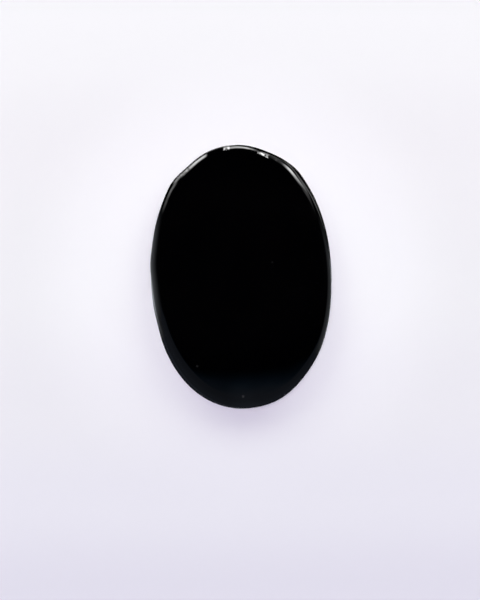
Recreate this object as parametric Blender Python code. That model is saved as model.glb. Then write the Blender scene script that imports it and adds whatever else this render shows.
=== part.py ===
"""Black agate cabochon: one cut and polished oval stone that lies on its flat back.

Metres, +Z up. The origin is the middle of the flat back and +Y runs along the stone's length.
From the back up, the outside is a small bevel, a wall that leans in a little, a rounded shoulder and a
low dome. The stone is cut by hand, so its face is turned a few degrees on its back, its outline has a few
slightly flat or full stretches, and its shoulder is tighter on one side than on the opposite one.
"""
import math

import bmesh
import bpy

# Outside sizes
STONE_LENGTH = 0.0220
STONE_WIDTH = 0.01505
STONE_THICKNESS = 0.0050

# Side of the stone, from the back up
BACK_BEVEL = 0.00035
WALL_TOP = 0.0026
WALL_INSET = 0.00012

# Rounded edge between the wall and the dome, and the direction from +X in which it is roundest
SHOULDER_TIGHTEST = 0.00053
SHOULDER_ROUNDEST = 0.00131
ROUNDEST_DIRECTION = math.radians(220.0)

# One stretch where the shoulder was rounded off more: extra radius, direction and half-width in degrees
SOFT_STRETCH_RADIUS = 0.00026
SOFT_STRETCH_DIRECTION = 58.0
SOFT_STRETCH_HALF_WIDTH = 13.0

# Outline: how much fuller than an ellipse it is on the diagonals, and how far the face turns on the back
DIAGONAL_FULLNESS = 0.018
FACE_TURN = math.radians(3.5)

# Stretches that hand grinding left flatter, or fuller where the depth is negative: direction in degrees
# from +X, depth, half-width in degrees
GROUND_STRETCHES = (
    (61.5, -0.000075, 5.5),
    (78.0, 0.00013, 8.0),
    (118.0, 0.00022, 12.5),
    (121.5, -0.00024, 8.0),
    (168.0, -0.00008, 9.0),
    (210.0, 0.000055, 9.0),
    (298.0, 0.00012, 12.0),
)

# How finely the rounded surfaces are stepped
OUTLINE_STEPS = 96
WALL_STEPS = 4
SHOULDER_STEPS = 7
DOME_STEPS = 11
SHARP_EDGE = math.radians(40.0)

# Finish
AGATE_COLOUR = (0.006, 0.006, 0.008, 1.0)
POLISH_ROUGHNESS = 0.06
AGATE_IOR = 1.54


def clear_scene():
    for scene_object in list(bpy.data.objects):
        bpy.data.objects.remove(scene_object, do_unlink=True)


def stretch_share(direction, middle, half_width):
    """1 in the middle of a stretch of the outline, fading smoothly to 0 on both sides of it."""
    away = math.degrees(direction) - middle
    away = (away + 180.0) % 360.0 - 180.0
    return math.exp(-(away / half_width) ** 2)


def ground_depth(direction):
    """How far the hand-ground outline lies inside the plain one in one direction."""
    depth = 0.0
    for middle, stretch_depth, half_width in GROUND_STRETCHES:
        depth += stretch_depth * stretch_share(direction, middle, half_width)
    return depth


def outline_reach(turn):
    """Direction and distance from the middle to the stone's widest outline, at one turn round it."""
    fullness = 1.0 + DIAGONAL_FULLNESS * math.sin(2.0 * turn) ** 2
    across = STONE_WIDTH / 2.0 * fullness * math.cos(turn)
    along = STONE_LENGTH / 2.0 * fullness * math.sin(turn)
    direction = math.atan2(along, across)
    return direction, math.hypot(across, along) - ground_depth(direction)


def shoulder_radius(direction):
    """Radius of the rounded shoulder: an even change from side to side, and one softer stretch."""
    middle = (SHOULDER_ROUNDEST + SHOULDER_TIGHTEST) / 2.0
    change = (SHOULDER_ROUNDEST - SHOULDER_TIGHTEST) / 2.0
    softer = SOFT_STRETCH_RADIUS * stretch_share(direction, SOFT_STRETCH_DIRECTION, SOFT_STRETCH_HALF_WIDTH)
    return middle + change * math.cos(direction - ROUNDEST_DIRECTION) + softer


def side_profile(reach, radius):
    """Distances from the middle and heights, from the back's edge up to just short of the crown.

    The shoulder is an arc that leaves the wall at its own slope. The dome is a larger arc that is tangent
    to the shoulder and level at the crown, which fixes the slope where the two meet.
    """
    steepest = math.pi / 2.0 - math.atan2(WALL_INSET, WALL_TOP - BACK_BEVEL)
    arch_reach = reach - WALL_INSET
    arch_height = STONE_THICKNESS - WALL_TOP
    rise_left = arch_height - radius * (1.0 - math.cos(steepest))
    reach_left = arch_reach - radius * math.sin(steepest)
    meeting = 2.0 * math.atan2(rise_left, reach_left)
    dome_reach = arch_reach - radius * (math.sin(steepest) - math.sin(meeting))
    dome_radius = dome_reach / math.sin(meeting)

    profile = [(reach - BACK_BEVEL, 0.0)]
    for step in range(WALL_STEPS + 1):
        share = step / WALL_STEPS
        height = BACK_BEVEL + (WALL_TOP - BACK_BEVEL) * share
        profile.append((reach - WALL_INSET * share, height))
    for step in range(1, SHOULDER_STEPS + 1):
        slope = steepest + (meeting - steepest) * step / SHOULDER_STEPS
        distance = arch_reach - radius * (math.sin(steepest) - math.sin(slope))
        height = WALL_TOP + radius * (math.cos(slope) - math.cos(steepest))
        profile.append((distance, height))
    for step in range(1, DOME_STEPS):
        distance = dome_reach * (1.0 - step / DOME_STEPS)
        height = STONE_THICKNESS - dome_radius + math.sqrt(dome_radius ** 2 - distance ** 2)
        profile.append((distance, height))
    return profile


def face_turn(height):
    """How far the outline is turned at one height: not at all at the back, fully from the shoulder up."""
    share = (height - BACK_BEVEL) / (WALL_TOP - BACK_BEVEL)
    share = min(max(share, 0.0), 1.0)
    return FACE_TURN * share * share * (3.0 - 2.0 * share)


def profile_columns():
    """One column of points for each step round the outline, from the back's edge to near the crown."""
    columns = []
    for step in range(OUTLINE_STEPS):
        direction, reach = outline_reach(2.0 * math.pi * step / OUTLINE_STEPS)
        column = []
        for distance, height in side_profile(reach, shoulder_radius(direction)):
            turned = direction + face_turn(height)
            column.append((distance * math.cos(turned), distance * math.sin(turned), height))
        columns.append(column)
    return columns


def centre_on_back(mesh_data):
    """Move the points so that the middle of the stone's width and length is at the origin."""
    across = [vertex.co.x for vertex in mesh_data.verts]
    along = [vertex.co.y for vertex in mesh_data.verts]
    middle = ((min(across) + max(across)) / 2.0, (min(along) + max(along)) / 2.0, 0.0)
    bmesh.ops.translate(mesh_data, verts=mesh_data.verts, vec=[-place for place in middle])


def loft_stone():
    """Skin the columns of points as one closed surface, with a flat back and a crown point."""
    mesh_data = bmesh.new()
    columns = [[mesh_data.verts.new(point) for point in column] for column in profile_columns()]
    crown = mesh_data.verts.new((0.0, 0.0, STONE_THICKNESS))
    for step, column in enumerate(columns):
        following = columns[(step + 1) % OUTLINE_STEPS]
        for level in range(len(column) - 1):
            mesh_data.faces.new((column[level], following[level], following[level + 1], column[level + 1]))
        mesh_data.faces.new((column[-1], following[-1], crown))
    mesh_data.faces.new([column[0] for column in reversed(columns)])
    centre_on_back(mesh_data)
    return mesh_data


def polished_agate():
    material = bpy.data.materials.new("polished_black_agate")
    material.use_nodes = True
    surface = material.node_tree.nodes["Principled BSDF"]
    surface.inputs["Base Color"].default_value = AGATE_COLOUR
    surface.inputs["Roughness"].default_value = POLISH_ROUGHNESS
    surface.inputs["Metallic"].default_value = 0.0
    surface.inputs["IOR"].default_value = AGATE_IOR
    material.diffuse_color = AGATE_COLOUR
    return material


def make_cabochon(collection):
    mesh = bpy.data.meshes.new("agate_cabochon")
    mesh_data = loft_stone()
    mesh_data.to_mesh(mesh)
    mesh_data.free()
    mesh.shade_smooth()
    mesh.set_sharp_from_angle(angle=SHARP_EDGE)
    mesh.materials.append(polished_agate())
    cabochon = bpy.data.objects.new("agate_cabochon", mesh)
    collection.objects.link(cabochon)


def main():
    clear_scene()
    collection = bpy.data.collections.new("black_agate")
    bpy.context.scene.collection.children.link(collection)
    make_cabochon(collection)


main()
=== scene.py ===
import math
import bpy
import numpy as np
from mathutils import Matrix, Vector, noise


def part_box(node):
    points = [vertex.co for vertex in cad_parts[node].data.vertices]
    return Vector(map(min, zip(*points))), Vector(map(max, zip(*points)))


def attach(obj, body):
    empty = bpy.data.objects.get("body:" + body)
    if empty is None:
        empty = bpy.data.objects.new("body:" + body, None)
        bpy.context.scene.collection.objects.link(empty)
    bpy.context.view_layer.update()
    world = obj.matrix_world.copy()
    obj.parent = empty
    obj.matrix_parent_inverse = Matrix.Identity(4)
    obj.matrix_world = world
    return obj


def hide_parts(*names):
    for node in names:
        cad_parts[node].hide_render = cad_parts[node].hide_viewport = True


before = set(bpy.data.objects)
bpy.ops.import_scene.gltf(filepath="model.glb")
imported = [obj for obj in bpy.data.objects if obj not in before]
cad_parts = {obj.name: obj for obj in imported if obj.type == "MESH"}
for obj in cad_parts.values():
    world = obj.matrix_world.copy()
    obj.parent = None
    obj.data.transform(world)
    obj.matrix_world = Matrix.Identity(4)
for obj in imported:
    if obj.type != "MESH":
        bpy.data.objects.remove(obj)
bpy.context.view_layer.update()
stoneNode = "agate_cabochon"
print("frame loaded, nodes:", sorted(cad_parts))

# The stone as it was cut, in metres and degrees. The sizes are the solid's own.
cut = {
    "length": 0.0220,
    "width": 0.01505,
    "thickness": 0.0050,
    "backBevel": 0.00035,
    "wallTop": 0.0026,
    "wallInset": 0.00012,
    "tightShoulder": 0.00053,
    "roundShoulder": 0.00131,
    "roundestWay": 220.0,
    "fullness": 0.018,
    "faceTurn": 3.5,
    # stretches that hand grinding left flatter, or fuller where the depth is negative: way, depth, half width
    "groundStretches": (
        (61.5, -0.000075, 5.5),
        (78.0, 0.00013, 8.0),
        (118.0, 0.00022, 12.5),
        (121.5, -0.00024, 8.0),
        (168.0, -0.00008, 9.0),
        (210.0, 0.000055, 9.0),
        (298.0, 0.00012, 12.0),
    ),
    "softStretch": (58.0, 0.00026, 13.0),    # a rounder stretch of shoulder: way, extra radius, half width
}

# How finely the stone's surface is meshed
mesh = {
    "columns": 1024,
    "crowdedWay": 92.0,      # more columns where the chips and the wear are
    "crowding": 2.4,
    "crowdWidth": 34.0,
    "crowdSteps": 3600,      # steps of the running sum that spaces the columns
    "backRings": 10,
    "backGrowth": 0.7,
    "bevelRings": 6,
    "wallRings": 10,
    "shoulderRings": 46,
    "domeRings": 56,
    "domeGrowth": 1.6,
    "domeSpacing": 0.00012,  # least distance between columns on the dome and on the back
    "backSpacing": 0.00050,
    "widestStride": 64,
    "rounding": 4,           # passes that round the bevel's edges and ease the shoulder into the dome
}

# Where a ring lies is told by its share: back -2, bevel -1, wall -1 to 0, shoulder 0 to 1, dome 1 to 2
onBack, onBevel = -2.0, -1.0

# What the polishing left in the surface. The fades are shares, and a seed moves a pattern of waves.
polish = {
    "faceWave": 0.0000012,
    "faceWaveLength": 0.0032,
    "faceSeed": 3.7,
    "faceFrom": 0.5,
    "faceFade": 0.5,
    "shoulderWave": 0.0000050,
    "shoulderWaveLength": 0.0013,
    "shoulderSeed": 11.3,
    "shoulderFrom": -0.6,
    "shoulderFade": 0.7,
    "shoulderEndFade": 0.12,
    "wear": 0.0000020,       # finer unevenness where the shoulder is worn, at the far end
    "wearLength": 0.00026,
    "wearSeed": 5.1,
    "wearWay": 98.0,
    "wearWidth": 34.0,
}

# Small chips in the shoulder. Each is a tilted cut: way round, inset from the outline, half its length along
# the rim, half its width up the shoulder, the cut's turn in degrees, and its depth at the outer edge.
chips = (
    (74.4, 0.00037, 0.00006, 0.00010, 40.0, 0.000014),
    (92.5, 0.00041, 0.00006, 0.00009, 10.0, 0.000016),
    (112.5, 0.00032, 0.00016, 0.00009, 24.0, 0.000018),
    (116.0, 0.00027, 0.00013, 0.00010, -20.0, 0.000016),
    (119.5, 0.00030, 0.00015, 0.00008, 18.0, 0.000014),
    (68.5, 0.00034, 0.00016, 0.00010, 6.0, 0.000010),
    (0.5, 0.00022, 0.00014, 0.00013, 0.0, 0.000028),
    (163.0, 0.00030, 0.00015, 0.00014, 5.0, 0.000022),
)

# What all the chips share. The edge's place and softness are shares of the chip's own size.
chipEdge = {
    "farthest": 1.5,
    "lowestShare": -0.9,     # no chip runs down to the bevel
    "sameSide": 2.0,         # half lengths off the chip's own plane
    "soft": 0.22,
    "ragged": 0.35,
    "raggedLength": 0.6,
    "raggedSeed": 7.0,
    "middleDepth": 0.55,
    "tilt": 0.45,
}


def stretchShare(way, middle, halfWidth):
    away = (np.degrees(way) - middle + 180.0) % 360.0 - 180.0
    return np.exp(-(away / halfWidth) ** 2)


def outlineOf(turns):
    fuller = 1.0 + cut["fullness"] * np.sin(2.0 * turns) ** 2
    across = cut["width"] / 2.0 * fuller * np.cos(turns)
    along = cut["length"] / 2.0 * fuller * np.sin(turns)
    way = np.arctan2(along, across)
    reach = np.hypot(across, along)
    for middle, depth, halfWidth in cut["groundStretches"]:
        reach = reach - depth * stretchShare(way, middle, halfWidth)
    return way, reach


def crowdedTurns(count):
    # even steps would be too coarse for the chips, so the steps are closer at that end
    fine = np.linspace(0.0, 360.0, mesh["crowdSteps"] + 1)
    away = (fine - mesh["crowdedWay"] + 180.0) % 360.0 - 180.0
    density = 1.0 + mesh["crowding"] * np.exp(-(away / mesh["crowdWidth"]) ** 2)
    run = np.concatenate([[0.0], np.cumsum((density[1:] + density[:-1]) / 2.0)])
    return np.radians(np.interp(np.arange(count) / count * run[-1], run, fine))


def profileOf(way, reach):
    # rows of distances and heights, from near the middle of the back, out and up to the crown
    tight, full = cut["tightShoulder"], cut["roundShoulder"]
    radius = (full + tight) / 2 + (full - tight) / 2 * np.cos(way - math.radians(cut["roundestWay"]))
    middle, softer, halfWidth = cut["softStretch"]
    radius = radius + softer * stretchShare(way, middle, halfWidth)
    bevel, wallTop, inset = cut["backBevel"], cut["wallTop"], cut["wallInset"]
    steepest = math.pi / 2.0 - math.atan2(inset, wallTop - bevel)
    archReach = reach - inset
    riseLeft = cut["thickness"] - wallTop - radius * (1.0 - math.cos(steepest))
    meeting = 2.0 * np.arctan2(riseLeft, archReach - radius * math.sin(steepest))
    domeReach = archReach - radius * (math.sin(steepest) - np.sin(meeting))
    domeRadius = domeReach / np.sin(meeting)
    level = np.zeros_like(reach)
    distances, heights, shares = [], [], []
    for k in range(1, mesh["backRings"] + 1):
        part = (k / mesh["backRings"]) ** mesh["backGrowth"]
        distances.append((reach - bevel) * part)
        heights.append(level)
        shares.append(onBack)
    for k in range(1, mesh["bevelRings"] + 1):
        part = k / mesh["bevelRings"]
        distances.append(reach - bevel * (1.0 - part))
        heights.append(level + bevel * part)
        shares.append(onBevel)
    for k in range(1, mesh["wallRings"] + 1):
        part = k / mesh["wallRings"]
        distances.append(reach - inset * part)
        heights.append(level + bevel + (wallTop - bevel) * part)
        shares.append(part - 1.0)
    for k in range(1, mesh["shoulderRings"] + 1):
        part = k / mesh["shoulderRings"]
        slope = steepest + (meeting - steepest) * part
        distances.append(archReach - radius * (math.sin(steepest) - np.sin(slope)))
        heights.append(wallTop + radius * (np.cos(slope) - math.cos(steepest)))
        shares.append(part)
    for k in range(1, mesh["domeRings"]):
        part = 1.0 - (k / mesh["domeRings"]) ** mesh["domeGrowth"]
        distance = domeReach * part
        distances.append(distance)
        heights.append(cut["thickness"] - domeRadius + np.sqrt(domeRadius ** 2 - distance ** 2))
        shares.append(2.0 - part)
    return np.array(distances), np.array(heights), np.array(shares)


def eased(rows):
    for k in range(mesh["rounding"]):
        rows[1:-1] = (rows[:-2] + 2.0 * rows[1:-1] + rows[2:]) / 4.0
    return rows


def surfaceNormals(points):
    around = np.roll(points, -1, axis=1) - np.roll(points, 1, axis=1)
    up = np.gradient(points, axis=0)
    normals = np.cross(around, up)
    return normals / np.maximum(np.linalg.norm(normals, axis=2, keepdims=True), 1e-12)


def waves(points, waveLength, offset):
    flat = points.reshape(-1, 3) / waveLength + offset
    return np.array([noise.noise(Vector(p)) for p in flat]).reshape(points.shape[:2])


def smooth(value):
    value = np.clip(value, 0.0, 1.0)
    return value * value * (3.0 - 2.0 * value)


def polishedSurface(points, way, shares):
    # slow waves in the face, quicker ones in the shoulder where the stone was turned by hand
    normals = surfaceNormals(points)
    rising = smooth((shares - polish["shoulderFrom"]) / polish["shoulderFade"])
    onShoulder = rising * (1.0 - smooth((shares - 1.0) / polish["shoulderEndFade"]))
    onFace = smooth((shares - polish["faceFrom"]) / polish["faceFade"])
    faceWaves = waves(points, polish["faceWaveLength"], polish["faceSeed"])
    push = polish["faceWave"] * onFace[:, None] * faceWaves
    shoulderWaves = waves(points, polish["shoulderWaveLength"], polish["shoulderSeed"])
    push = push + polish["shoulderWave"] * onShoulder[:, None] * shoulderWaves
    worn = onShoulder[:, None] * stretchShare(way, polish["wearWay"], polish["wearWidth"])[None, :]
    push = push + polish["wear"] * worn * waves(points, polish["wearLength"], polish["wearSeed"])
    return points + normals * push[:, :, None]


def chippedSurface(points, way, shares):
    # each chip is a small cut with a ragged edge, deepest on its outer side, so that its floor faces outward
    normals = surfaceNormals(points)
    outline = np.hypot(points[:, :, 0], points[:, :, 1]).max(axis=0)
    push = np.zeros(points.shape[:2])
    for number, (chipWay, inset, halfLength, halfWidth, turn, depth) in enumerate(chips):
        column = np.argmin(np.abs((np.degrees(way) - chipWay + 180.0) % 360.0 - 180.0))
        reach = np.hypot(points[:, column, 0], points[:, column, 1])
        onTop = np.where(shares > 0.0)[0]
        row = onTop[np.argmin(np.abs(outline[column] - inset - reach[onTop]))]
        centre, normal = points[row, column], normals[row, column]
        upward = points[row + 1, column] - points[row - 1, column]
        upward = upward / np.linalg.norm(upward)
        along = np.cross(upward, normal)
        c, s = math.cos(math.radians(turn)), math.sin(math.radians(turn))
        offset = points - centre
        first, second = offset @ (along * c + upward * s), offset @ (upward * c - along * s)
        share = np.hypot(first / halfLength, second / halfWidth)
        near = (share < chipEdge["farthest"]) & (shares > chipEdge["lowestShare"])[:, None]
        near = near & (np.abs(offset @ normal) < halfLength * chipEdge["sameSide"])
        seed = Vector((chipEdge["raggedSeed"] * number, 0.0, 0.0))
        for r, k in np.argwhere(near):
            ragged = noise.noise(Vector(offset[r, k] / (chipEdge["raggedLength"] * halfLength)) + seed)
            edge = float(smooth((1.0 + chipEdge["ragged"] * ragged - share[r, k]) / chipEdge["soft"]))
            cutDepth = depth * (chipEdge["middleDepth"] - chipEdge["tilt"] * second[r, k] / halfWidth)
            push[r, k] = min(push[r, k], -edge * max(cutDepth, 0.0))
    return points + normals * push[:, :, None]


def strideOf(distance, spacing):
    # fewer columns towards the middle, so that the triangles stay even
    stride = 1
    while stride < mesh["widestStride"] and 2.0 * math.pi * distance / (mesh["columns"] / stride) < spacing:
        stride *= 2
    return stride


def stoneMesh():
    way, reach = outlineOf(crowdedTurns(mesh["columns"]))
    distances, heights, shares = profileOf(way, reach)
    distances, heights = eased(distances), eased(heights)
    lift = (heights - cut["backBevel"]) / (cut["wallTop"] - cut["backBevel"])
    turned = way[None, :] + math.radians(cut["faceTurn"]) * smooth(lift)
    points = np.stack([distances * np.cos(turned), distances * np.sin(turned), heights], axis=2)
    points = polishedSurface(points, way, shares)
    points = chippedSurface(points, way, shares)
    flatRows = mesh["backRings"] - mesh["rounding"]
    points[:flatRows, :, 2] = 0.0
    # the middle of the finished stone goes to the middle of the solid
    low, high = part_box(stoneNode)
    target = (low + high) / 2.0
    everyPoint = points.reshape(-1, 3)
    middle = (everyPoint.max(axis=0) + everyPoint.min(axis=0)) / 2.0
    points = points + np.array([target.x - middle[0], target.y - middle[1], 0.0])
    return points, shares


def meshObject(name, points, shares):
    rows, columns = points.shape[:2]
    strides = []
    for row in range(rows):
        distance = np.hypot(points[row, :, 0], points[row, :, 1]).mean()
        spacing = 0.0
        if shares[row] > 1.0:
            spacing = mesh["domeSpacing"]
        elif shares[row] == onBack:
            spacing = mesh["backSpacing"]
        strides.append(strideOf(distance, spacing))
    vertices, index = [], {}
    for row in range(rows):
        for column in range(0, columns, strides[row]):
            index[row, column] = len(vertices)
            vertices.append(points[row, column])
    backMiddle, crown = len(vertices), len(vertices) + 1
    vertices.append((points[0, :, 0].mean(), points[0, :, 1].mean(), 0.0))
    top = points[-1].mean(axis=0)
    vertices.append((top[0], top[1], cut["thickness"]))
    faces = []
    for row in range(rows - 1):
        lower, upper = strides[row], strides[row + 1]
        step = max(lower, upper)
        for column in range(0, columns, step):
            following = (column + step) % columns
            a, b = index[row, column], index[row, following]
            c, d = index[row + 1, following], index[row + 1, column]
            if lower == upper:
                faces.append((a, b, c, d))
            elif lower < upper:
                middle = index[row, column + lower]
                faces.extend(((a, middle, d), (middle, c, d), (middle, b, c)))
            else:
                middle = index[row + 1, column + upper]
                faces.extend(((a, b, middle), (a, middle, d), (b, c, middle)))
    for column in range(0, columns, strides[0]):
        faces.append((index[0, (column + strides[0]) % columns], index[0, column], backMiddle))
    for column in range(0, columns, strides[-1]):
        faces.append((index[rows - 1, column], index[rows - 1, (column + strides[-1]) % columns], crown))
    data = bpy.data.meshes.new(name)
    data.from_pydata([tuple(v) for v in vertices], [], faces)
    data.validate()
    data.shade_smooth()
    piece = bpy.data.objects.new(name, data)
    bpy.context.scene.collection.objects.link(piece)
    return piece


# Shader helpers
def addNode(tree, kind, inputs=(), **settings):
    node = tree.nodes.new(kind)
    for key, value in settings.items():
        setattr(node, key, value)
    for key, value in dict(inputs).items():
        if isinstance(value, bpy.types.NodeSocket):
            tree.links.new(value, node.inputs[key])
        else:
            node.inputs[key].default_value = value
    return node


def mathNode(tree, operation, first, second=0.0, third=0.0):
    return addNode(tree, "ShaderNodeMath", {0: first, 1: second, 2: third}, operation=operation).outputs[0]


def rangeNode(tree, value, fromLow, fromHigh, toLow, toHigh, kind="SMOOTHSTEP"):
    node = addNode(tree, "ShaderNodeMapRange", {
        "Value": value, "From Min": fromLow, "From Max": fromHigh, "To Min": toLow, "To Max": toHigh,
    }, interpolation_type=kind)
    return node.outputs["Result"]


def mixColour(tree, share, first, second):
    node = addNode(tree, "ShaderNodeMix", {"Factor": share, 6: first, 7: second}, data_type="RGBA")
    return node.outputs[2]


def patternNode(tree, place, scale, detail, roughness=0.5):
    node = addNode(tree, "ShaderNodeTexNoise", {
        "Vector": place, "Scale": scale, "Detail": detail, "Roughness": roughness,
    })
    return node.outputs["Fac"]


def stretchedPlace(tree, place, scale, turn):
    node = addNode(tree, "ShaderNodeMapping", {"Vector": place, "Scale": scale})
    node.inputs["Rotation"].default_value = (0.0, 0.0, math.radians(turn))
    return node.outputs[0]


# The agate's finish. Heights are in metres, and a pair is where a change begins and ends.
agate = {
    "deep": (0.0001, 0.0001, 0.0003, 1.0),
    "refraction": 1.54,
    "band": (0.0009, 0.0008, 0.0011, 1.0),
    "bandScale": 26.0,
    "bandBend": 5.5,
    "bandDetail": 3.0,
    "bandDetailScale": 1.6,
    "bandDetailRoughness": 0.55,
    "cloudScale": 190.0,
    "cloudDetail": 5.0,
    "cloudRoughness": 0.6,
    "groundBack": (0.030, 0.030, 0.033),
    "groundHeights": (0.00020, 0.00045),
    "satinRoughness": (0.34, 0.52),
    "markStretch": (900.0, 90.0, 900.0),
    "markTurn": 24.0,
    "markScale": 9.0,
    "markDetail": 6.0,
    "markRoughness": 0.7,
    "markShades": (0.30, 0.75),
    "markTones": (0.55, 1.25),
    "markSatins": (0.25, 0.75),
    "markBump": 0.35,
    "markDepth": 0.00002,
    "polishedRoughness": 0.035,
    "hazeRoughness": 0.085,
    "hazeScale": 330.0,
    "hazeDetail": 4.0,
    "hazeBreak": 0.55,
    "hazeShades": (0.50, 0.80),
    "wipeStretch": (2600.0, 130.0, 400.0),
    "wipeTurn": -31.0,
    "wipeScale": 3.0,
    "wipeDetail": 3.0,
    "wipeShades": (0.66, 0.74),
    "wipeDullness": 0.6,
    "speck": (0.030, 0.030, 0.031, 1.0),
    "speckEdge": (0.20, 1.10),   # shares of a speck's radius
    "faceHeights": (0.0025, 0.0027),
}

# Pale specks of dust on the face: place across and along and radius in millimetres, and how plain they are
specks = (
    (0.05, -9.88, 0.15, 0.75),
    (-3.70, -7.34, 0.13, 0.45),
    (2.58, 1.13, 0.12, 0.20),
    (5.60, -3.10, 0.08, 0.08),
    (-1.80, 4.60, 0.07, 0.07),
)


def bodyColour(tree, place):
    # nearly black, with faint wavy growth bands that only strong light brings out
    bands = addNode(tree, "ShaderNodeTexWave", {
        "Vector": place, "Scale": agate["bandScale"], "Distortion": agate["bandBend"],
        "Detail": agate["bandDetail"], "Detail Scale": agate["bandDetailScale"],
        "Detail Roughness": agate["bandDetailRoughness"],
    }, wave_type="RINGS", rings_direction="SPHERICAL")
    clouds = patternNode(tree, place, agate["cloudScale"], agate["cloudDetail"], agate["cloudRoughness"])
    bandShare = mathNode(tree, "MULTIPLY", bands.outputs["Fac"], clouds)
    return mixColour(tree, bandShare, agate["deep"], agate["band"])


def speckShare(tree, place, height):
    # soft dots on the face
    inner, outer = agate["speckEdge"]
    dots = None
    for across, along, radius, plainness in specks:
        flat = addNode(tree, "ShaderNodeVectorMath", {0: place, 1: (1.0, 1.0, 0.0)}, operation="MULTIPLY")
        away = addNode(tree, "ShaderNodeVectorMath", {
            0: flat.outputs[0], 1: (across / 1000.0, along / 1000.0, 0.0),
        }, operation="DISTANCE").outputs["Value"]
        dot = rangeNode(tree, away, radius / 1000.0 * inner, radius / 1000.0 * outer, plainness, 0.0)
        dots = dot if dots is None else mathNode(tree, "MAXIMUM", dots, dot)
    return mathNode(tree, "MULTIPLY", dots, rangeNode(tree, height, *agate["faceHeights"], 0.0, 1.0))


def polishRoughness(tree, place):
    # nearly a mirror, with a few hazy patches and hairline wipe marks
    haze = patternNode(tree, place, agate["hazeScale"], agate["hazeDetail"], agate["hazeBreak"])
    hazeShare = rangeNode(tree, haze, *agate["hazeShades"], 0.0, 1.0)
    wiped = stretchedPlace(tree, place, agate["wipeStretch"], agate["wipeTurn"])
    hairs = patternNode(tree, wiped, agate["wipeScale"], agate["wipeDetail"])
    hairShare = rangeNode(tree, hairs, *agate["wipeShades"], 0.0, agate["wipeDullness"])
    dull = mathNode(tree, "MAXIMUM", hazeShare, hairShare)
    return rangeNode(tree, dull, 0.0, 1.0, agate["polishedRoughness"], agate["hazeRoughness"], "LINEAR")


def agateMaterial():
    material = bpy.data.materials.new("polishedBlackAgate")
    material.use_nodes = True
    tree = material.node_tree
    shader = tree.nodes["Principled BSDF"]
    place = addNode(tree, "ShaderNodeTexCoord").outputs["Object"]
    height = addNode(tree, "ShaderNodeSeparateXYZ", {0: place}).outputs["Z"]

    # the flat back and its bevel are only fine-ground, with straight grinding marks
    back = rangeNode(tree, height, *agate["groundHeights"], 1.0, 0.0)
    ground = stretchedPlace(tree, place, agate["markStretch"], agate["markTurn"])
    marks = patternNode(tree, ground, agate["markScale"], agate["markDetail"], agate["markRoughness"])
    markTone = rangeNode(tree, marks, *agate["markShades"], *agate["markTones"], "LINEAR")
    groundTone = addNode(tree, "ShaderNodeVectorMath", {0: agate["groundBack"], "Scale": markTone},
                         operation="SCALE").outputs[0]
    colour = mixColour(tree, back, bodyColour(tree, place), groundTone)
    colour = mixColour(tree, speckShare(tree, place, height), colour, agate["speck"])

    satin = rangeNode(tree, marks, *agate["markSatins"], *agate["satinRoughness"], "LINEAR")
    roughness = addNode(tree, "ShaderNodeMix", {"Factor": back, 2: polishRoughness(tree, place), 3: satin})
    bump = addNode(tree, "ShaderNodeBump", {
        "Height": mathNode(tree, "MULTIPLY", marks, back),
        "Strength": agate["markBump"], "Distance": agate["markDepth"],
    })

    tree.links.new(colour, shader.inputs["Base Color"])
    tree.links.new(roughness.outputs[0], shader.inputs["Roughness"])
    tree.links.new(bump.outputs[0], shader.inputs["Normal"])
    shader.inputs["IOR"].default_value = agate["refraction"]
    shader.inputs["Metallic"].default_value = 0.0
    return material


points, shares = stoneMesh()
stone = meshObject("polished_stone", points, shares)
stone.data.materials.append(agateMaterial())
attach(stone, "root")
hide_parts(stoneNode)
print("stone:", len(stone.data.polygons), "faces")

# The pale floor: lavender white, with painted shade that deepens its colour towards the near end. Places are
# in millimetres along the floor.
floor = {
    "radius": 1.15,
    "sides": 96,
    "roughness": 0.9,
    # painted shade: the floor's colour deepens towards the near end
    "shades": (
        (-26.0, (0.764, 0.745, 0.866)),
        (-18.7, (0.822, 0.809, 0.911)),
        (-10.3, (0.852, 0.840, 0.918)),
        (0.0, (0.890, 0.883, 0.942)),
        (10.5, (0.910, 0.894, 0.955)),
        (21.3, (0.956, 0.950, 1.000)),
    ),
    # a painted pool of light round the stone: its gain, and where it fades, in millimetres from the middle
    "poolGain": 0.09,
    "poolFrom": 9.0,
    "poolTo": 20.0,
}


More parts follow.
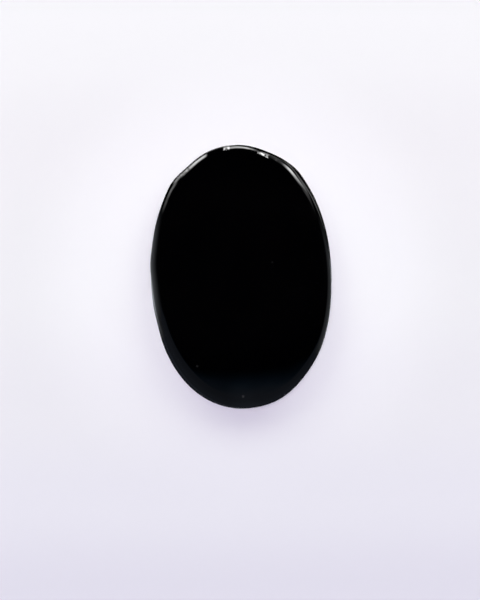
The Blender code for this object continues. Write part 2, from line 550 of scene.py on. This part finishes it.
def paleFloor():
    bpy.ops.mesh.primitive_circle_add(vertices=floor["sides"], radius=floor["radius"], fill_type="NGON")
    plate = bpy.context.object
    plate.name = "pale_floor"
    plate.visible_glossy = False
    material = bpy.data.materials.new("paleFloor")
    material.use_nodes = True
    tree = material.node_tree
    shader = tree.nodes["Principled BSDF"]
    place = addNode(tree, "ShaderNodeTexCoord").outputs["Object"]
    along = addNode(tree, "ShaderNodeSeparateXYZ", {0: place}).outputs["Y"]

    # painted shade: the shades follow each other along the floor, darker towards the near end
    shades = floor["shades"]
    first, last = shades[0][0] / 1000.0, shades[-1][0] / 1000.0
    share = rangeNode(tree, along, first, last, 0.0, 1.0, "LINEAR")
    ramp = addNode(tree, "ShaderNodeValToRGB", {"Fac": share})
    ramp.color_ramp.elements.remove(ramp.color_ramp.elements[-1])
    for number, (spot, tone) in enumerate(shades):
        where = (spot / 1000.0 - first) / (last - first)
        element = ramp.color_ramp.elements[0] if number == 0 else ramp.color_ramp.elements.new(where)
        element.position = where
        element.color = tone + (1.0,)
    ramp.color_ramp.interpolation = "EASE"

    # painted light: the floor's colour is a little lighter in a painted pool of light round the stone
    reach = addNode(tree, "ShaderNodeVectorMath", {0: place}, operation="LENGTH").outputs["Value"]
    near, far = floor["poolFrom"] / 1000.0, floor["poolTo"] / 1000.0
    pool = rangeNode(tree, reach, near, far, 1.0 + floor["poolGain"], 1.0)
    lit = addNode(tree, "ShaderNodeVectorMath", {0: ramp.outputs["Color"], "Scale": pool}, operation="SCALE")
    tree.links.new(lit.outputs[0], shader.inputs["Base Color"])
    shader.inputs["Roughness"].default_value = floor["roughness"]
    shader.inputs["Specular IOR Level"].default_value = 0.0
    plate.data.materials.append(material)


paleFloor()
print("floor laid")

# A plain wall round the floor, for low cameras. It only shows: it neither lights the stone nor is mirrored.
backdrop = {
    "radius": 1.14,
    "segments": 64,
    "rings": 32,
    "tone": (0.80, 0.785, 0.865),
}


def paleBackdrop():
    bpy.ops.mesh.primitive_uv_sphere_add(segments=backdrop["segments"], ring_count=backdrop["rings"],
                                         radius=backdrop["radius"])
    wall = bpy.context.object
    wall.name = "pale_backdrop"
    wall.data.shade_smooth()
    wall.visible_glossy = False
    wall.visible_diffuse = False
    wall.visible_transmission = False
    wall.visible_shadow = False
    material = bpy.data.materials.new("paleBackdrop")
    material.use_nodes = True
    tree = material.node_tree
    tree.nodes.remove(tree.nodes["Principled BSDF"])
    glow = addNode(tree, "ShaderNodeEmission", {"Color": backdrop["tone"] + (1.0,)})
    tree.links.new(glow.outputs[0], tree.nodes["Material Output"].inputs["Surface"])
    wall.data.materials.append(material)


paleBackdrop()
print("backdrop hung")

# The dark room that the polish mirrors. Ways and heights are in degrees, heights from the floor up. "from"
# and "to" are heights as a look direction's upward part, -1 straight down and 1 straight up.
room = {
    "sides": {                   # pale panels low on both sides
        "left": {"way": 179.0, "half": 13.0, "soft": 9.0, "glow": 0.40, "from": -0.40, "to": 0.56},
        "right": {"way": 354.5, "half": 19.5, "soft": 8.0, "glow": 0.27, "from": 0.10, "to": 0.54},
    },
    "sideTint": (0.95, 1.0, 1.08),
    # a dark gap low under the right panel's far end, with the share of light that is left in it
    "lowGap": {"way": 17.0, "half": 9.0, "soft": 3.0, "from": -0.68, "to": -0.38, "kept": 0.12},
    # a dim pale wall on the near side, dimmer lower down. Its straight upper edge fades where a look
    # direction goes this far toward the near side for each unit up.
    "nearGlow": 0.105,
    "nearFrom": 0.44,
    "nearTo": 0.62,
    "leastRise": 0.02,           # keeps that sum from dividing by nought
    "nearLow": (-0.95, -0.1),
    "nearLowShare": 0.22,
    "nearPeaks": (               # where that wall is brighter
        {"way": 269.0, "half": 9.0, "soft": 9.0, "glow": 0.36},
        {"way": 295.0, "half": 21.0, "soft": 10.0, "glow": 0.20},
    ),
    "nearTint": (0.87, 1.0, 1.29),
    "nearEdgeTint": (0.30, 1.0, 1.75),
}

# Soft boxes in that room. From above they show only as highlights along the shoulder. "lean" turns a box's
# way with height, "slant" tips its ends up or down.
softBoxes = {
    "rightTail": {"way": 27.7, "half": 2.6, "soft": 3.0, "low": -55.0, "lowSoft": 14.0,
                  "high": 26.0, "highSoft": 9.0, "slant": 0.0, "lean": -0.14, "glow": 0.75},
    "right": {"way": 44.5, "half": 9.0, "soft": 8.0, "low": -17.0, "lowSoft": 12.0,
              "high": 18.0, "highSoft": 13.0, "slant": -0.10, "lean": 0.0, "glow": 12.0},
    "farLink": {"way": 63.0, "half": 4.0, "soft": 4.0, "low": -52.0, "lowSoft": 26.0,
                "high": 20.0, "highSoft": 12.0, "slant": 0.0, "lean": 0.0, "glow": 0.45},
    "farStreak": {"way": 71.0, "half": 0.75, "soft": 0.5, "low": -9.0, "lowSoft": 6.0,
                  "high": 32.0, "highSoft": 6.0, "slant": 0.0, "lean": 0.0, "glow": 26.0},
    "farThread": {"way": 68.9, "half": 0.35, "soft": 0.4, "low": -10.0, "lowSoft": 12.0,
                  "high": 41.0, "highSoft": 4.0, "slant": 0.0, "lean": 0.04, "glow": 13.0},
    "farBase": {"way": 70.2, "half": 2.0, "soft": 1.2, "low": -36.0, "lowSoft": 20.0,
                "high": -10.0, "highSoft": 8.0, "slant": 0.0, "lean": 0.03, "glow": 2.6},
    "far": {"way": 84.5, "half": 10.0, "soft": 3.0, "low": -30.0, "lowSoft": 16.0,
            "high": 7.0, "highSoft": 7.0, "slant": -1.2, "lean": 0.0, "glow": 7.0},
    "farEdge": {"way": 94.8, "half": 0.9, "soft": 0.6, "low": -14.0, "lowSoft": 20.0,
                "high": 22.0, "highSoft": 16.0, "slant": 0.0, "lean": -0.02, "glow": 17.0},
    "farCorner": {"way": 98.8, "half": 0.9, "soft": 0.7, "low": -10.0, "lowSoft": 14.0,
                  "high": 25.0, "highSoft": 7.0, "slant": 0.0, "lean": -0.02, "glow": 13.0},
    "farBetween": {"way": 97.0, "half": 2.4, "soft": 1.2, "low": -40.0, "lowSoft": 20.0,
                   "high": 4.0, "highSoft": 10.0, "slant": 0.0, "lean": 0.0, "glow": 4.0},
    "farLow": {"way": 112.0, "half": 18.0, "soft": 8.0, "low": -85.0, "lowSoft": 10.0,
               "high": -34.0, "highSoft": 16.0, "slant": 0.0, "lean": 0.0, "glow": 0.35},
    "left": {"way": 123.5, "half": 6.0, "soft": 3.0, "low": -16.0, "lowSoft": 14.0,
             "high": 19.0, "highSoft": 14.0, "slant": 0.0, "lean": 0.0, "glow": 11.0},
    "leftLow": {"way": 134.0, "half": 7.0, "soft": 5.0, "low": -30.0, "lowSoft": 14.0,
                "high": 8.0, "highSoft": 12.0, "slant": 0.0, "lean": 0.0, "glow": 3.0},
    "rightLow": {"way": 40.4, "half": 16.6, "soft": 7.0, "low": -95.0, "lowSoft": 1.0,
                 "high": -76.0, "highSoft": 6.0, "slant": 0.0, "lean": 0.0, "glow": 0.26},
    "leftTail": {"way": 148.0, "half": 8.0, "soft": 5.0, "low": -8.0, "lowSoft": 10.0,
                 "high": 19.0, "highSoft": 11.0, "slant": 0.9, "lean": 0.0, "glow": 2.1},
}


def windowOf(tree, value, low, lowSoft, high, highSoft):
    rising = rangeNode(tree, value, low - lowSoft, low + lowSoft, 0.0, 1.0)
    falling = rangeNode(tree, value, high - highSoft, high + highSoft, 1.0, 0.0)
    return mathNode(tree, "MULTIPLY", rising, falling)


def widthOf(tree, away, values):
    return windowOf(tree, away, -values["half"], values["soft"], values["half"], values["soft"])


def awayFrom(tree, look, way):
    # degrees that the look direction is turned away from a way
    c, s = math.cos(math.radians(way)), math.sin(math.radians(way))
    ahead = mathNode(tree, "ADD", mathNode(tree, "MULTIPLY", look["x"], c),
                     mathNode(tree, "MULTIPLY", look["y"], s))
    aside = mathNode(tree, "SUBTRACT", mathNode(tree, "MULTIPLY", look["y"], c),
                     mathNode(tree, "MULTIPLY", look["x"], s))
    return mathNode(tree, "DEGREES", mathNode(tree, "ARCTAN2", aside, ahead))


def scaledColour(tree, colour, scale):
    return addNode(tree, "ShaderNodeVectorMath", {0: colour, "Scale": scale}, operation="SCALE").outputs[0]


def sidePanels(tree, look):
    glow = None
    for values in room["sides"].values():
        width = widthOf(tree, awayFrom(tree, look, values["way"]), values)
        fade = rangeNode(tree, look["z"], values["from"], values["to"], values["glow"], 0.0)
        panel = mathNode(tree, "MULTIPLY", width, fade)
        glow = panel if glow is None else mathNode(tree, "ADD", glow, panel)
    gap = room["lowGap"]
    width = widthOf(tree, awayFrom(tree, look, gap["way"]), gap)
    depth = rangeNode(tree, look["z"], gap["from"], gap["to"], 1.0 - gap["kept"], 0.0)
    lit = mathNode(tree, "SUBTRACT", 1.0, mathNode(tree, "MULTIPLY", width, depth))
    return scaledColour(tree, room["sideTint"], mathNode(tree, "MULTIPLY", glow, lit))


def nearWall(tree, look):
    toward = mathNode(tree, "MULTIPLY", look["y"], -1.0)
    steep = mathNode(tree, "DIVIDE", toward, mathNode(tree, "MAXIMUM", look["z"], room["leastRise"]))
    edge = rangeNode(tree, steep, room["nearFrom"], room["nearTo"], 0.0, 1.0)
    lower = rangeNode(tree, look["z"], *room["nearLow"], room["nearLowShare"], 1.0)
    glow = mathNode(tree, "MULTIPLY", mathNode(tree, "MULTIPLY", edge, lower), room["nearGlow"])
    for values in room["nearPeaks"]:
        width = widthOf(tree, awayFrom(tree, look, values["way"]), values)
        peak = mathNode(tree, "MULTIPLY_ADD", width, values["glow"], 1.0)
        glow = mathNode(tree, "MULTIPLY", glow, peak)
    tint = addNode(tree, "ShaderNodeMix", {"Factor": edge, 4: room["nearEdgeTint"], 5: room["nearTint"]},
                   data_type="VECTOR").outputs[1]
    return scaledColour(tree, tint, glow)


def boxGlow(tree, look, height):
    glow = None
    for values in softBoxes.values():
        away = awayFrom(tree, look, values["way"])
        away = mathNode(tree, "SUBTRACT", away, mathNode(tree, "MULTIPLY", height, values["lean"]))
        tilted = mathNode(tree, "ADD", height, mathNode(tree, "MULTIPLY", away, values["slant"]))
        tall = windowOf(tree, tilted, values["low"], values["lowSoft"], values["high"], values["highSoft"])
        box = mathNode(tree, "MULTIPLY", widthOf(tree, away, values), tall)
        box = mathNode(tree, "MULTIPLY", box, values["glow"])
        glow = box if glow is None else mathNode(tree, "ADD", glow, box)
    return addNode(tree, "ShaderNodeCombineXYZ", {0: glow, 1: glow, 2: glow}).outputs[0]


def darkRoom():
    world = bpy.data.worlds.new("studio")
    bpy.context.scene.world = world
    world.use_nodes = True
    world.cycles_visibility.diffuse = False
    tree = world.node_tree
    background = tree.nodes["Background"]
    direction = addNode(tree, "ShaderNodeTexCoord").outputs["Generated"]
    split = addNode(tree, "ShaderNodeSeparateXYZ", {0: direction})
    look = {"x": split.outputs["X"], "y": split.outputs["Y"], "z": split.outputs["Z"]}
    height = mathNode(tree, "DEGREES", mathNode(tree, "ARCSINE", look["z"]))
    colour = addNode(tree, "ShaderNodeVectorMath", {0: sidePanels(tree, look), 1: nearWall(tree, look)},
                     operation="MAXIMUM").outputs[0]
    colour = addNode(tree, "ShaderNodeVectorMath", {0: colour, 1: boxGlow(tree, look, height)},
                     operation="ADD").outputs[0]
    tree.links.new(colour, background.inputs["Color"])
    background.inputs["Strength"].default_value = 1.0


# Lamps that light the floor: soft, from above and from beyond the far end, and not mirrored in the stone
lamps = {
    "overhead": {"way": 90.0, "height": 89.5, "spread": 12.0, "strength": 2.00,
                 "tint": (0.99, 0.938, 1.055)},
    "leftKey": {"way": 121.0, "height": 39.0, "spread": 44.0, "strength": 0.73,
                "tint": (1.0, 1.10, 0.82)},
    "rightKey": {"way": 55.0, "height": 39.0, "spread": 44.0, "strength": 0.73,
                 "tint": (1.0, 1.10, 0.82)},
    "fill": {"way": 90.0, "height": 80.0, "spread": 120.0, "strength": 0.22,
             "tint": (0.97, 0.95, 1.0)},
}


def floorLamp(name, values):
    data = bpy.data.lights.new(name, "SUN")
    data.energy = values["strength"]
    data.angle = math.radians(values["spread"])
    data.color = values["tint"]
    lamp = bpy.data.objects.new(name, data)
    bpy.context.scene.collection.objects.link(lamp)
    way, height = math.radians(values["way"]), math.radians(values["height"])
    outward = Vector((math.cos(way) * math.cos(height), math.sin(way) * math.cos(height), math.sin(height)))
    lamp.rotation_mode = "QUATERNION"
    lamp.rotation_quaternion = outward.to_track_quat("Z", "Y")
    lamp.visible_glossy = False


darkRoom()
for lampName, lampValues in lamps.items():
    floorLamp(lampName, lampValues)
bpy.context.scene.view_settings.view_transform = "Standard"
print("lights set")

# The camera looks straight down on the stone. Picture values are pixels of the 480 by 600 frame.
picture = {
    "width": 480.0,
    "height": 600.0,
    "stoneX": 241.03,
    "stoneY": 276.82,
    "pixelsPerMetre": 11994.0,
    "lean": 0.71,
    "cameraHeight": 0.30,
    "sensor": 36.0,
    "nearClip": 0.01,
    "farClip": 5.0,
}


def downCamera():
    data = bpy.data.cameras.new("camera")
    data.sensor_width = picture["sensor"]
    tall = picture["height"] / picture["pixelsPerMetre"]
    data.lens = picture["sensor"] * picture["cameraHeight"] / tall
    data.clip_start = picture["nearClip"]
    data.clip_end = picture["farClip"]
    camera = bpy.data.objects.new("camera", data)
    bpy.context.scene.collection.objects.link(camera)
    # the stone's long side leans a little to the left in the picture
    lean = math.radians(picture["lean"])
    right = Vector((math.cos(lean), -math.sin(lean), 0.0))
    upward = Vector((math.sin(lean), math.cos(lean), 0.0))
    aside = (picture["width"] / 2.0 - picture["stoneX"]) / picture["pixelsPerMetre"]
    below = (picture["height"] / 2.0 - picture["stoneY"]) / picture["pixelsPerMetre"]
    camera.location = right * aside - upward * below + Vector((0.0, 0.0, picture["cameraHeight"]))
    camera.rotation_euler = (0.0, 0.0, -lean)
    bpy.context.scene.camera = camera


downCamera()
print("camera set")
